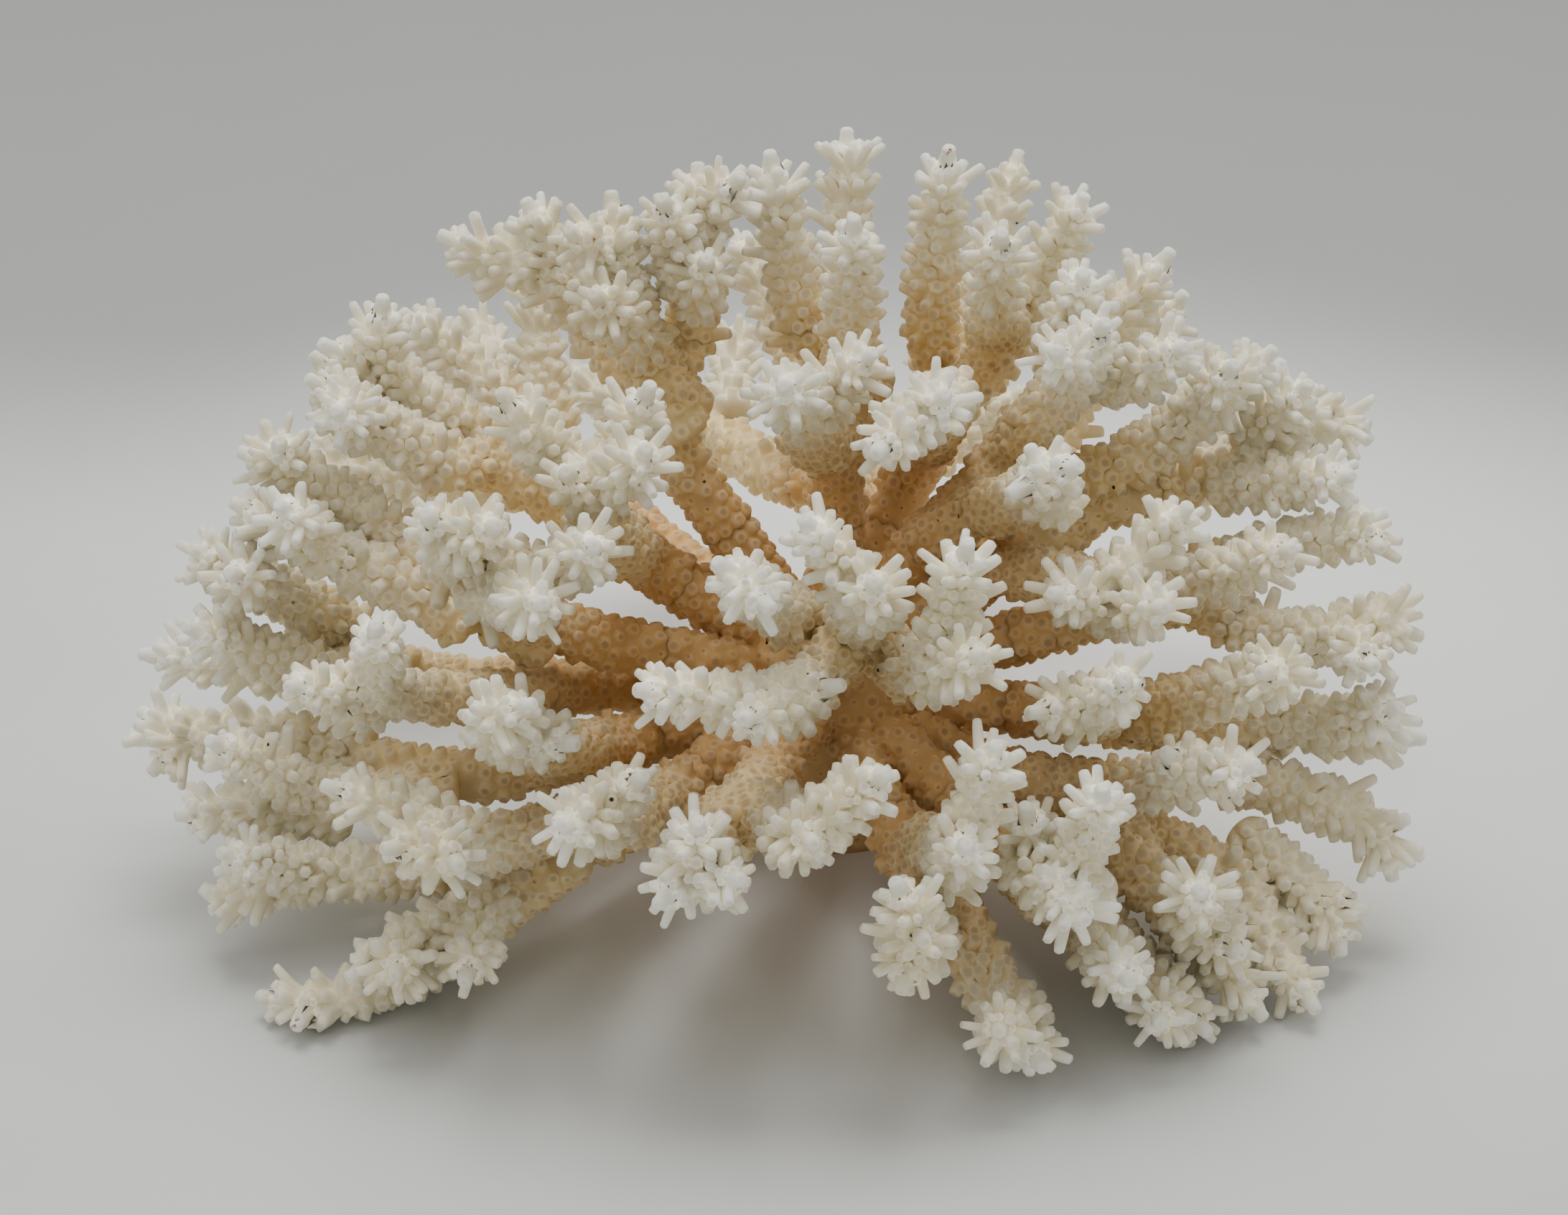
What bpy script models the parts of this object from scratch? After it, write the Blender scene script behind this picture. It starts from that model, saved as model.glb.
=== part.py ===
"""Branching coral colony: the dried white skeleton of one Acropora colony, cut off flat at its base.

A short stalk carries limbs that radiate from one heart and spread into a low dome. Each limb carries side
branches, and each branch ends in a few twigs. The stalk, every limb and every side branch is one solid, so
the colony is split at its main forks.

Units are metres and +Z is up. The origin is the middle of the flat cut under the stalk.
"""

import math

import bmesh
import bpy
import numpy as np
from mathutils import Vector

MM = 0.001

# Driving dimensions
HEART = Vector((0.0, 0.0, 0.025))  # the point that every limb radiates from
DOME_REACH = Vector((0.113, 0.096, 0.090))  # how far the tips reach from the heart to the left, along Y and up
REACH_RIGHT = 0.099  # and how far they reach to the right
FACE_TILT = math.radians(27)  # the best face of the dome looks towards -Y and this far up
STALK_DEPTH = 0.92  # the stalk is a little narrower along Y than along X
STALK_STEPS = 14
# Half width and height of the stalk from the crown down its outer side, in millimetres
STALK_PROFILE_MM = ((0, 41), (8, 39.5), (14.5, 34), (17.5, 26), (16.5, 17), (15, 9), (16.5, 0), (0, 0))
BRANCH_BEVEL = 1  # bevel resolution of a branch: six sides
STANDING_GAP = 0.0004  # the lowest branches clear the surface the colony stands on by this
LOWEST_TIP = 0.0032  # height of the lowest tips
JOINT_GAP = 0.0003  # clearance between a branch and the limb it was split from
SEGMENT = 0.028  # longest straight run of a branch

# Outer thickness of a branch, corallites included, by distance back from its tip
DISTANCE_MM = (0, 16, 45, 90)
RADIUS_MM = (3.3, 4.2, 4.7, 5.2)

SPREAD = 1.25  # a twig leaves its branch this many times its tip spacing before the branch's own tip
BRANCH_REACH = 0.046  # a side branch leaves its limb at least this far before the limb's tip
LEAST_FORK = 0.034  # distance from the heart to the nearest fork
TWIG_START = 0.017  # a twig leaves its side branch at least this far after the side branch leaves the limb
FORK_SLOPE = 1.15  # a fork opens at most this much sideways for each unit forwards
BEND_AHEAD = 0.32  # a branch bends this share of its length after it leaves its parent
BEND_ASIDE = 0.85  # and has covered at most this share of its way sideways by then
UPSWEEP = 0.10  # a branch sags below the straight line to its tip by this share of its length, then rises
WANDER = 0.0016  # how far a branch strays from its smooth line
WANDER_REACH = 0.05  # a shorter branch strays less
NEIGHBOUR_GAP = 0.0009  # branches that pass each other keep this clear
CLEAR_SHARE = 1.10  # a side branch is split off once it is this many times the two radii from its limb
LEAST_STUB = 0.006  # a limb holds at least this much of each side branch
BURIED_SHARE = 0.8  # how thick a branch is at the fork, inside the limb it grows from
STEP = 0.004  # spacing of the points a branch is shaped with
ROOT_REACH = 0.026  # the limbs are one body nearer to the heart than this
SETTLING_ROUNDS = 120
WATCH = 0.012  # points this much further apart than they need to be are left out of the settling
KIN_REACH = 2.6  # points nearer along the coral than this many times their room may stay close
EASE = 0.3  # share of a clash that one round takes away
LONGEST_PUSH = 0.0012  # furthest a point moves in one round
EVENING = 0.25  # share by which a point moves to the middle of its neighbours in one round
SEED = 11

# Every limb as {node: tips}. The first node is the limb itself and the others are its side branches; the first
# tip of a node ends its own axis and the others end twigs. A tip is millimetres to the right and up, as seen
# square on to the best face, and it stands out from the face as far as the dome does. A third number draws a
# tip that falls short of the dome in to that share of it.
LIMBS = (
    {
        "limb_top": ((2, 87), (3, 68)),
        "branch_top_left": ((-10, 81),),
        "branch_top_front": ((-7, 41), (6, 47, 0.93)),
    },
    {
        "limb_top_right": ((31, 88), (18, 83)),
        "branch_top_right_side": ((39, 75), (25, 66)),
        "branch_top_right_front": ((16, 40), (6, 31)),
    },
    {
        "limb_upper_right": ((52, 66), (37, 60), (52, 49)),
        "branch_upper_right_mid": ((40, 52), (32, 47)),
        "branch_upper_right_front": ((35, 30), (28, 33, 0.93), (25, 26, 0.9)),
    },
    {
        "limb_right_upper": ((68, 50), (60, 47)),
        "branch_right_upper_side": ((80, 44), (72, 46), (84, 37), (79, 31)),
        "branch_right_front": ((47, 10), (51, 25), (31, 12, 0.9)),
    },
    {
        "limb_right": ((85, 26), (83, 19), (67, 19)),
        "branch_right_side": ((87, 7), (84, 13), (81, 2)),
    },
    {
        "limb_right_low": ((92, -9), (86, -4)),
        "branch_right_low_under": ((89, -21), (87, -31)),
        "branch_right_low_side": ((68, 2), (61, 1)),
        "branch_right_low_front": ((41, 0), (28, -5, 0.85)),
    },
    {
        "limb_lower_right": ((82, -35), (78, -42), (73, -50)),
        "branch_lower_right_mid": ((61, -12), (48, -10, 0.85)),
        "branch_lower_right_foot": ((60, -40), (53, -30), (65, -51)),
    },
    {
        "limb_bottom_right": ((56, -52), (48, -50), (43, -43)),
        "branch_bottom_right_front": ((36, -34), (30, -27, 0.9), (38, -15), (27, -18, 0.85)),
    },
    {
        "limb_bottom": ((31, -56), (24, -50)),
        "branch_bottom_side": ((12, -34), (9, -28), (10, -44)),
        "branch_bottom_front": ((19, -23), (23, -9)),
    },
    {
        "limb_bottom_left": ((-24, -32), (-18, -20), (-12, -28)),
        "branch_bottom_left_front": ((-2, -23), (8, -13)),
    },
    {
        "limb_lower_left": ((-71, -45), (-63, -44), (-53, -45, 0.95)),
        "branch_lower_left_foot": ((-79, -53), (-86, -49)),
        "branch_lower_left_side": ((-97, -33), (-92, -27), (-93, -40)),
        "branch_lower_left_mid": ((-64, -25), (-52, -27), (-74, -16, 0.97)),
        "branch_lower_left_front": ((-37, -21), (-26, -14, 0.9)),
    },
    {
        "limb_left_low": ((-101, -22), (-93, -10)),
        "branch_left_low_side": ((-110, -6), (-107, -16)),
        "branch_left_low_front": ((-49, -6), (-41, -4), (-36, -10, 0.85)),
    },
    {
        "limb_left": ((-112, 3), (-98, 7)),
        "branch_left_mid": ((-79, -2), (-65, 7)),
        "branch_left_upper": ((-98, 19), (-90, 15)),
    },
    {
        "limb_left_upper": ((-91, 26), (-82, 25)),
        "branch_left_upper_side": ((-91, 34), (-83, 35)),
        "branch_left_upper_front": ((-58, 23), (-47, 21), (-33, 18), (-40, 10)),
    },
    {
        "limb_upper_left": ((-79, 51), (-69, 58)),
        "branch_upper_left_side": ((-80, 45), (-74, 39)),
        "branch_upper_left_mid": ((-38, 29, 0.95), (-48, 41), (-26, 32), (-26, 42, 0.95)),
    },
    {
        "limb_top_left": ((-48, 74), (-62, 69)),
        "branch_top_left_side": ((-34, 74), (-40, 67), (-36, 57, 0.92)),
        "branch_top_left_inner": ((-21, 79), (-26, 72), (-14, 76), (-19, 63, 0.9)),
    },
    {
        "limb_front": ((6, 13), (-4, 22)),
        "branch_front_right": ((21, 3), (19, 19)),
        "branch_front_left": ((-12, -6), (2, -1, 0.85), (-27, -2)),
        "branch_front_left_upper": ((-16, 16), (-8, 9)),
    },
)
# The limbs at the back of the dome, placed by compass instead: degrees round from straight back, and degrees up
BACK_LIMBS = (
    {
        "limb_back": ((2, 32, 0.95), (-14, 44, 0.9), (1, 51, 0.88)),
        "branch_back_low_left": ((-18, 10), (-9, 18), (-29, 14)),
        "branch_back_low_right": ((19, 9), (12, 19), (30, 13)),
    },
    {
        "limb_back_right": ((46, 32, 0.95), (34, 26), (38, 44, 0.9), (57, 40, 0.93)),
        "branch_back_right_low": ((58, 14), (47, 9), (70, 17, 0.95), (60, 26)),
    },
    {
        "limb_back_left": ((-51, 30, 0.95), (-39, 25), (-43, 43, 0.9), (-63, 39, 0.92)),
        "branch_back_left_low": ((-57, 14), (-46, 8), (-70, 17, 0.95), (-62, 27)),
    },
)

# Base colours, linear, and roughness
STALK_COLOUR = (0.34, 0.20, 0.11, 1.0)
LIMB_COLOUR = (0.50, 0.38, 0.25, 1.0)
BRANCH_COLOUR = (0.68, 0.60, 0.48, 1.0)
ROUGHNESS = 0.8


def face_axes():
    """Right, up and outwards, as seen square on to the dome's best face."""
    sine, cosine = math.sin(FACE_TILT), math.cos(FACE_TILT)
    return Vector((1, 0, 0)), Vector((0, sine, cosine)), Vector((0, -cosine, sine))


def dome_reach(x):
    """Reach of the dome along X, Y and Z on the left or on the right of the heart."""
    return Vector((REACH_RIGHT if x > 0 else DOME_REACH.x, DOME_REACH.y, DOME_REACH.z))


def tip_on_face(right_mm, up_mm, share=1.0):
    """Where the line square to the face at these distances meets the front of the dome."""
    right, up, out = face_axes()
    across = right * right_mm * MM + up * up_mm * MM
    reach = dome_reach(right_mm) * share
    a = sum((o / r) ** 2 for o, r in zip(out, reach))
    b = sum(p * o / r**2 for p, o, r in zip(across, out, reach))
    c = sum((p / r) ** 2 for p, r in zip(across, reach)) - 1
    outwards = (-b + math.sqrt(max(b * b - a * c, 0))) / a
    standing = (LOWEST_TIP - HEART.z - across.z) / out.z
    return HEART + across + out * max(outwards, standing)


def tip_by_compass(round_deg, up_deg, share=1.0):
    """The point of the dome in this direction from the heart."""
    turn, rise = math.radians(round_deg), math.radians(up_deg)
    way = Vector((math.sin(turn) * math.cos(rise), math.cos(turn) * math.cos(rise), math.sin(rise)))
    return HEART + Vector(w * r * share for w, r in zip(way, dome_reach(way.x)))


class Strand:
    """One unbranched run of coral from its fork, or from the heart, to its tip."""

    def __init__(self, node, tip, parent=None):
        self.node = node
        self.tip = tip
        self.parent = parent
        self.fork = 0  # index of the parent's point this strand leaves from
        self.points = []
        self.split = 0  # index of the point at which it is split from its parent, if it is

    def fork_along(self, other):
        """Index of the other strand's point that this one hangs from, or -1 if it does not hang from it."""
        if self.parent is None:
            return -1
        return self.fork if self.parent is other else self.parent.fork_along(other)

    def grow(self, rng):
        """Lay the strand's points along a curve that leaves its parent smoothly and rises to its tip."""
        start = HEART
        leave = (self.tip - HEART).normalized()
        if self.parent:
            along = self.parent.points
            back = SPREAD * (self.tip - self.parent.tip).length
            first = 2
            if self.node != self.parent.node:
                back = max(back, BRANCH_REACH)
            elif self.parent.parent:
                first = math.ceil(TWIG_START / STEP)
            self.fork = len(along) - 1
            while self.fork > first and (along[self.fork] - along[-1]).length < back:
                self.fork -= 1
            while (along[self.fork] - HEART).length < LEAST_FORK:
                self.fork += 1
            start = along[self.fork]
            leave = (along[self.fork] - along[self.fork - 1]).normalized()
        span = self.tip - start
        forwards = span.dot(leave)
        sideways = span - leave * forwards
        ahead = BEND_AHEAD * span.length
        aside = min(BEND_ASIDE * sideways.length, FORK_SLOPE * ahead)
        bend = start + leave * ahead + sideways.normalized() * aside
        if self.parent is None:
            bend = start + span * 0.5
        bend.z -= UPSWEEP * Vector((span.x, span.y, 0)).length
        across = span.cross(Vector((0, 0, 1))).normalized()
        stray = rng.normal(0, WANDER * min(1.0, span.length / WANDER_REACH), 2)
        bend += across * stray[0] + across.cross(span).normalized() * stray[1]
        count = max(3, round(span.length / STEP))
        for i in range(count + 1):
            t = i / count
            self.points.append(start * (1 - t) ** 2 + bend * (2 * t * (1 - t)) + self.tip * t * t)

    def radii(self):
        """Outer radius at each point."""
        back = 0.0
        radii = []
        for i in range(len(self.points) - 1, -1, -1):
            radii.append(float(np.interp(back / MM, DISTANCE_MM, RADIUS_MM)) * MM)
            if i:
                back += (self.points[i] - self.points[i - 1]).length
        return radii[::-1]


def all_strands():
    """Every strand of the colony, each after the strand it forks from."""
    strands = []
    placed = [(limb, tip_on_face) for limb in LIMBS] + [(limb, tip_by_compass) for limb in BACK_LIMBS]
    for limb, place in placed:
        main = None
        for node, tips in limb.items():
            axis = Strand(node, place(*tips[0]), main)
            main = main or axis
            strands.append(axis)
            strands.extend(Strand(node, place(*tip), axis) for tip in tips[1:])
    return strands


def path_distances(strands, starts):
    """Distance along the coral between every two points."""
    total = starts[-1] + len(strands[-1].points)
    along = np.zeros((total, total))
    for strand, start in zip(strands, starts):
        for i, point in enumerate(strand.points):
            here = start + i
            if i:
                before, step = here - 1, (point - strand.points[i - 1]).length
            elif strand.parent:
                before, step = starts[strands.index(strand.parent)] + strand.fork, 0.0
            elif here:
                before, step = 0, 0.0
            else:
                continue
            along[here, :here] = along[before, :here] + step
            along[:here, here] = along[here, :here]
    return along


def settle(strands):
    """Push branches that would run into each other apart, and lift the low ones clear of the surface below."""
    starts = [0]
    for strand in strands[:-1]:
        starts.append(starts[-1] + len(strand.points))
    along = path_distances(strands, starts)
    places = np.array([tuple(p) for s in strands for p in s.points])
    radii = np.array([r for s in strands for r in s.radii()])
    rooted = np.linalg.norm(places - np.array(HEART), axis=1) < ROOT_REACH
    first, second = np.triu_indices(len(places), 1)
    need = radii[first] + radii[second] + NEIGHBOUR_GAP
    gap = np.linalg.norm(places[first] - places[second], axis=1)
    kin = along[first, second] <= need * KIN_REACH
    near = (gap < need + WATCH) & ~kin & ~(rooted[first] & rooted[second])
    first, second, need = first[near], second[near], need[near]
    for _ in range(SETTLING_ROUNDS):
        gap = places[first] - places[second]
        distance = np.linalg.norm(gap, axis=1) + 1e-9
        shift = gap * (np.maximum(need - distance, 0) / distance * EASE)[:, None]
        push = np.zeros_like(places)
        np.add.at(push, first, shift)
        np.add.at(push, second, -shift)
        length = np.linalg.norm(push, axis=1)
        places = places + push * (np.minimum(length, LONGEST_PUSH) / (length + 1e-12))[:, None]
        for strand, start in zip(strands, starts):
            run = places[start : start + len(strand.points)]
            run[1:-1] += EVENING * (run[:-2] + run[2:] - 2 * run[1:-1])
            run[0] = HEART
            if strand.parent:
                run[0] = places[starts[strands.index(strand.parent)] + strand.fork]
        places[:, 2] = np.where(rooted, places[:, 2], np.maximum(places[:, 2], radii + STANDING_GAP))
    for strand, start in zip(strands, starts):
        strand.points = [Vector(p) for p in places[start : start + len(strand.points)]]
        if strand.parent:
            strand.points[0] = strand.parent.points[strand.fork].copy()


def clear_index(strand, strands):
    """Index of the first point at which a strand stands clear of all it does not carry from there on."""
    own = strand.radii()
    least = ROOT_REACH if strand.parent is None else LEAST_STUB
    others = [(s, s.fork_along(strand)) for s in strands if s is not strand]
    places = np.array([tuple(p) for s, _ in others for p in s.points])
    radii = np.array([r for s, _ in others for r in s.radii()])
    leaves = np.array([leave for s, leave in others for _ in s.points])
    for i, point in enumerate(strand.points[:-4]):
        gap = np.linalg.norm(places - np.array(point), axis=1)
        clear = (gap > (radii + own[i]) * CLEAR_SHARE) | (leaves > i)
        if (point - strand.points[0]).length > least and clear.all():
            return i
    return len(strand.points) - 5


def thinned(first, last):
    """Indices from first to last, no further apart than a straight run may be."""
    stride = round(SEGMENT / STEP)
    count = max(1, math.ceil((last - first) / stride))
    return sorted({round(first + (last - first) * i / count) for i in range(count + 1)})


def beyond_split(strand):
    """Index of the point at which the straight run across a strand's split ends."""
    return min(strand.split + 3, len(strand.points) - 2)


def joint_between(strand):
    """The two ends of the gap at which a strand is split from its parent."""
    before, after = strand.points[strand.split - 1], strand.points[beyond_split(strand)]
    way = (after - before).normalized()
    middle = before + way * STEP
    return middle - way * JOINT_GAP / 2, middle + way * JOINT_GAP / 2


def stub(strand):
    """The run of a strand that the piece it grows from holds, as points and radii."""
    radii = strand.radii()
    kept = thinned(0 if strand.parent else 3, strand.split - 1)
    inner, _ = joint_between(strand)
    widths = [radii[i] for i in kept] + [radii[strand.split]]
    widths[0] *= BURIED_SHARE
    return [strand.points[i] for i in kept] + [inner], widths


def run_to_tip(strand):
    """The run of a strand from its joint, or from its fork for a twig, to its tip, as points and radii."""
    radii = strand.radii()
    last = len(strand.points) - 1
    if not strand.split:
        kept = thinned(0, last)
        widths = [radii[i] for i in kept]
        widths[0] *= BURIED_SHARE
        return [strand.points[i] for i in kept], widths
    _, outer = joint_between(strand)
    kept = thinned(beyond_split(strand), last)
    return [outer] + [strand.points[i] for i in kept], [radii[strand.split]] + [radii[i] for i in kept]


def mesh_object(name, mesh, collection):
    """A new object holding this mesh, linked to the collection."""
    made = bpy.data.objects.new(name, mesh)
    collection.objects.link(made)
    return made


def evaluated_mesh(source):
    """The mesh an object shows once its modifiers have run, with doubled points welded."""
    bpy.context.view_layer.update()
    graph = bpy.context.evaluated_depsgraph_get()
    mesh = bpy.data.meshes.new_from_object(source.evaluated_get(graph))
    shape = bmesh.new()
    shape.from_mesh(mesh)
    bmesh.ops.remove_doubles(shape, verts=shape.verts, dist=0.000001)
    shape.to_mesh(mesh)
    shape.free()
    return mesh


def tube(name, points, widths, collection):
    """A solid tube through the points, as thick at each as its width says."""
    line = bpy.data.curves.new(name, "CURVE")
    line.dimensions = "3D"
    line.bevel_depth = 1.0
    line.bevel_resolution = BRANCH_BEVEL
    line.use_fill_caps = True
    spline = line.splines.new("POLY")
    spline.points.add(len(points) - 1)
    for place, point, width in zip(spline.points, points, widths):
        place.co = (*point, 1)
        place.radius = width
    guide = bpy.data.objects.new(name, line)
    collection.objects.link(guide)
    solid = mesh_object(name, evaluated_mesh(guide), collection)
    bpy.data.objects.remove(guide)
    return solid


def stalk(collection):
    """The stalk and crown: a turned profile, a little narrower from front to back."""
    mesh = bpy.data.meshes.new("stalk_profile")
    profile = [(r * MM, 0, z * MM) for r, z in STALK_PROFILE_MM]
    mesh.from_pydata(profile, [(i, i + 1) for i in range(len(profile) - 1)], [])
    guide = mesh_object("stalk_profile", mesh, collection)
    turn = guide.modifiers.new("turn", "SCREW")
    turn.steps = STALK_STEPS
    turn.render_steps = STALK_STEPS
    turn.use_merge_vertices = True
    turn.merge_threshold = 0.00005
    turned = evaluated_mesh(guide)
    bpy.data.objects.remove(guide)
    for vertex in turned.vertices:
        vertex.co.y *= STALK_DEPTH
    return mesh_object("stalk", turned, collection)


def joined(solids, collection):
    """One body made of overlapping solids, which are removed."""
    body, rest = solids[0], solids[1:]
    for solid in rest:
        union = body.modifiers.new("union", "BOOLEAN")
        union.operation = "UNION"
        union.solver = "EXACT"
        union.object = solid
        mesh = evaluated_mesh(body)
        body.modifiers.clear()
        body.data = mesh
        bpy.data.objects.remove(solid)
    return body


def coral_material(name, colour):
    """Matt coral skeleton of this colour."""
    material = bpy.data.materials.new(name)
    material.use_nodes = True
    shader = material.node_tree.nodes["Principled BSDF"]
    shader.inputs["Base Color"].default_value = colour
    shader.inputs["Roughness"].default_value = ROUGHNESS
    shader.inputs["Metallic"].default_value = 0.0
    return material


def finish(body, name, origin, parent, colour):
    """Name a body, put its origin at its joint and hang it from the piece that carries it."""
    for vertex in body.data.vertices:
        vertex.co -= origin
    body.name = name
    body.data.name = name
    body.location = origin
    if parent:
        body.parent = parent
        body.location = origin - parent.matrix_world.translation
    body.data.materials.clear()
    body.data.materials.append(coral_material(name + "_coral", colour))
    bpy.context.view_layer.update()
    return body


def build():
    """Build the whole colony."""
    for leftover in list(bpy.data.objects):
        bpy.data.objects.remove(leftover)
    collection = bpy.data.collections.new("plate_coral")
    bpy.context.scene.collection.children.link(collection)

    rng = np.random.default_rng(SEED)
    strands = all_strands()
    for strand in strands:
        strand.grow(rng)
    settle(strands)
    axes = [s for s in strands if s.parent is None or s.parent.node != s.node]
    for axis in axes:
        axis.split = clear_index(axis, strands)

    pieces = {"base": [stalk(collection)]}
    carriers = {}
    for axis in axes:
        pieces[axis.node] = [tube(axis.node, *run_to_tip(axis), collection)]
        holder = axis.parent
        below = axis
        while holder and below.fork <= holder.split:
            below, holder = holder, holder.parent
        carriers[axis.node] = holder.node if holder else "base"
        pieces[carriers[axis.node]].append(tube(axis.node + "_stub", *stub(axis), collection))
    for twig in strands:
        if twig not in axes:
            pieces[twig.node].append(tube(twig.node + "_twig", *run_to_tip(twig), collection))

    built = {"base": finish(joined(pieces["base"], collection), "base", Vector(), None, STALK_COLOUR)}
    for axis in axes:
        body = joined(pieces[axis.node], collection)
        colour = LIMB_COLOUR if axis.parent is None else BRANCH_COLOUR
        built[axis.node] = finish(body, axis.node, joint_between(axis)[1], built[carriers[axis.node]], colour)


build()
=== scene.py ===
"""Branching coral colony: a stalk and branches covered with little tubes, soft studio light and a camera."""

import math
from functools import lru_cache, partial

import bmesh
import bpy
import numpy as np
from bpy.props import FloatProperty, FloatVectorProperty, IntProperty, PointerProperty
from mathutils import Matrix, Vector, kdtree


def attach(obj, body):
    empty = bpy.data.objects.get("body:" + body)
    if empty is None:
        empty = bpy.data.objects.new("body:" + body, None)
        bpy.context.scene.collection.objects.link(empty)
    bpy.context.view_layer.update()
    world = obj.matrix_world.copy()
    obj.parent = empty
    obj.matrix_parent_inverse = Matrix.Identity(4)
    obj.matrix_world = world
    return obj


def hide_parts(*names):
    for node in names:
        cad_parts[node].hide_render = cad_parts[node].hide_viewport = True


bl_info = {
    "name": "Branching coral colony",
    "version": (1, 0, 0),
    "blender": (4, 5, 0),
    "location": "3D View > Sidebar > Coral",
    "description": "Grows the tubes of a dried branching coral over its solid branches, and lights it",
    "category": "Object",
}

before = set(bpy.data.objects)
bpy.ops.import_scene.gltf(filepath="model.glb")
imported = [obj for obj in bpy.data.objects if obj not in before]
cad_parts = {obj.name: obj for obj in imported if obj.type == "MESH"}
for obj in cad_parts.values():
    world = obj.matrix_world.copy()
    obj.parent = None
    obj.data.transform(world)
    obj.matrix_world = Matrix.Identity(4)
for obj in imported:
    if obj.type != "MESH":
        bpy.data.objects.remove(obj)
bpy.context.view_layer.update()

MM = 0.001
SEED = 7
ROOT_BODY = "root"
STALK_NODE = "base"

# The heart is the point in the crown that every limb radiates from
HEART = Vector((0.0, 0.0, 0.025))

# How the branches' middle lines are read from the solids
WELD = 2e-6  # corners closer than this are one
FLATNESS = math.radians(0.3)  # faces that meet at less than this are one
BRANCH_SIDES = 6
EVEN_SIDES = 1.04  # the corners of a flat end are equally far from its centre, within this ratio
FINE = 0.003  # longest edge of the finely divided solids
FINE_ROUNDS = 10
BAND = 0.0035  # spacing of the spots along a middle line
END_ROOM = 0.6  # of a band: a spot nearer than this to a flat end gives way to the end's own spot
CROWN_START = 0.010  # the limbs start this far from the heart
CROWN_SPOTS = 3  # the fewest spots of a limb inside the crown
CROWN_TURN = 0.5  # how much of its own direction a limb has taken up where it leaves the crown
JOINT_SEARCH = 0.0015  # two pieces that meet have their ends this near
UNREAD_REACH = 0.010  # a corner further than this from every spot belongs to a branch not read yet
MOST_UNREAD = 3  # such branches in one node

# How the middle lines are evened out into chains
FINE_STEP = 0.001
LINE_ROUNDS = 14
LINE_PULL = 0.25  # how far a point moves in one round, as a share of its bend
LONG_REACH = 0.070  # a branch whose tip is further than this from the heart has more tubes round it
BURIED_STEPS = 4  # how many spots a side branch goes on for inside its parent
BURIED_NEAR = 0.0015  # it stops at once when it is this near to its parent's middle line
BURIED_TURN = 0.25  # how much it turns into its parent's direction at each spot

# Sizes along a branch, by distance back from its tip
BACK_MM = (0, 2, 5, 9, 14, 20, 28, 38, 55, 120)
CORE_MM = (1.15, 1.35, 1.6, 2.05, 2.6, 3.0, 3.25, 3.5, 3.8, 4.3)  # radius of the branch under its tubes
LENGTH_MM = (1.5, 2.7, 3.7, 3.4, 2.5, 1.85, 1.45, 1.1, 0.8, 0.55)  # how far a tube stands out
LEAN_DEG = (24, 38, 48, 52, 52, 54, 60, 68, 77, 84)  # how far a tube leans out from its branch
WIDTH_SHARE = (0.74, 0.77, 0.80, 0.86, 0.94, 1.03, 1.08, 1.10, 1.06, 1.0)  # of the full width of a tube

# The stalk: its half width at each height, and how much narrower it is from front to back
STALK_HEIGHT_MM = (0, 2, 9, 17, 26, 33, 37, 39.5)
STALK_RADIUS_MM = (16.2, 15.6, 14.7, 16.2, 17.1, 14.8, 11.6, 8.4)
STALK_DEPTH = 0.92
STALK_SPOTS = 12
STALK_COVER = 0.0004  # a place this far under the stalk's surface is hidden in it

# The honeycomb of cells that the tubes stand on
ROW_PITCH = 0.866  # between two rows, as a share of the width of a cell
NARROWEST = 0.93  # how narrow and how wide a cell may get, as a share of the tubes' spacing
WIDEST = 1.08
LAST_ROOM = 0.0004  # the last row keeps this far from the tip
TWIST = 0.05  # radians that one ring is turned against the last
STRAY = 0.00012  # how far the corners of the cells stray
GROOVE = 0.00012  # how far the surface sinks between the tubes
FLOOR_CLEAR = 0.0003  # nothing but the stalk's cut and the lips of tubes is lower than this
LIP_CLEAR = 0.00015  # and no lip is lower than this

# How long the tubes are, apart from chance
TIP_RISE = 0.0024  # how far the tube that leads a tip stands above the ring it grows from
LONGEST_TUBE = 0.0056
ROSETTE_BACK_MM = (0, 4, 18, 30)  # round a tip the rows are long and short in turn, by this much
ROSETTE = (0.5, 1.0, 0.8, 0.0)
LONG_ROW = 1.18
SHORT_ROW = 0.50
FIRST_ROW = 0.55  # every second tube next to the leading tube is shorter by this
HIDDEN_DEPTH = 0.0006  # a cell this far inside another branch has no tube
TOP_ROOM = 0.0007  # a tube whose end comes this near to another branch is blocked by it
BLOCKED_TUBE = 0.0005
FLOOR_TUBE = 0.0008  # length of a tube that would reach into the table
TUBE_LENGTH = 0.0011  # from this length a tube has a waist
KNOB_LENGTH = 0.00040  # and under this it is only a pit

# Chance: how widely lengths, widths and directions are spread, and how many tubes are stunted or overgrown
SPREAD_BACK_MM = (12, 26)
LENGTH_SPREAD = (0.16, 0.34)
BRANCH_SPREAD = 0.13
WIDTH_SPREAD = 0.11
LEAN_SPREAD_DEG = 7
SKEW_SPREAD = 0.16
FOOT_SPREAD_MM = 0.16
STUNTED_PART, STUNTED = 0.12, 0.5
OVERGROWN_PART, OVERGROWN = 0.07, 1.6
OVERGROWN_BACK_MM = 50  # no tube further back than this is overgrown
AVERAGE = 0.5  # the chance value of the ground between the tubes

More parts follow.
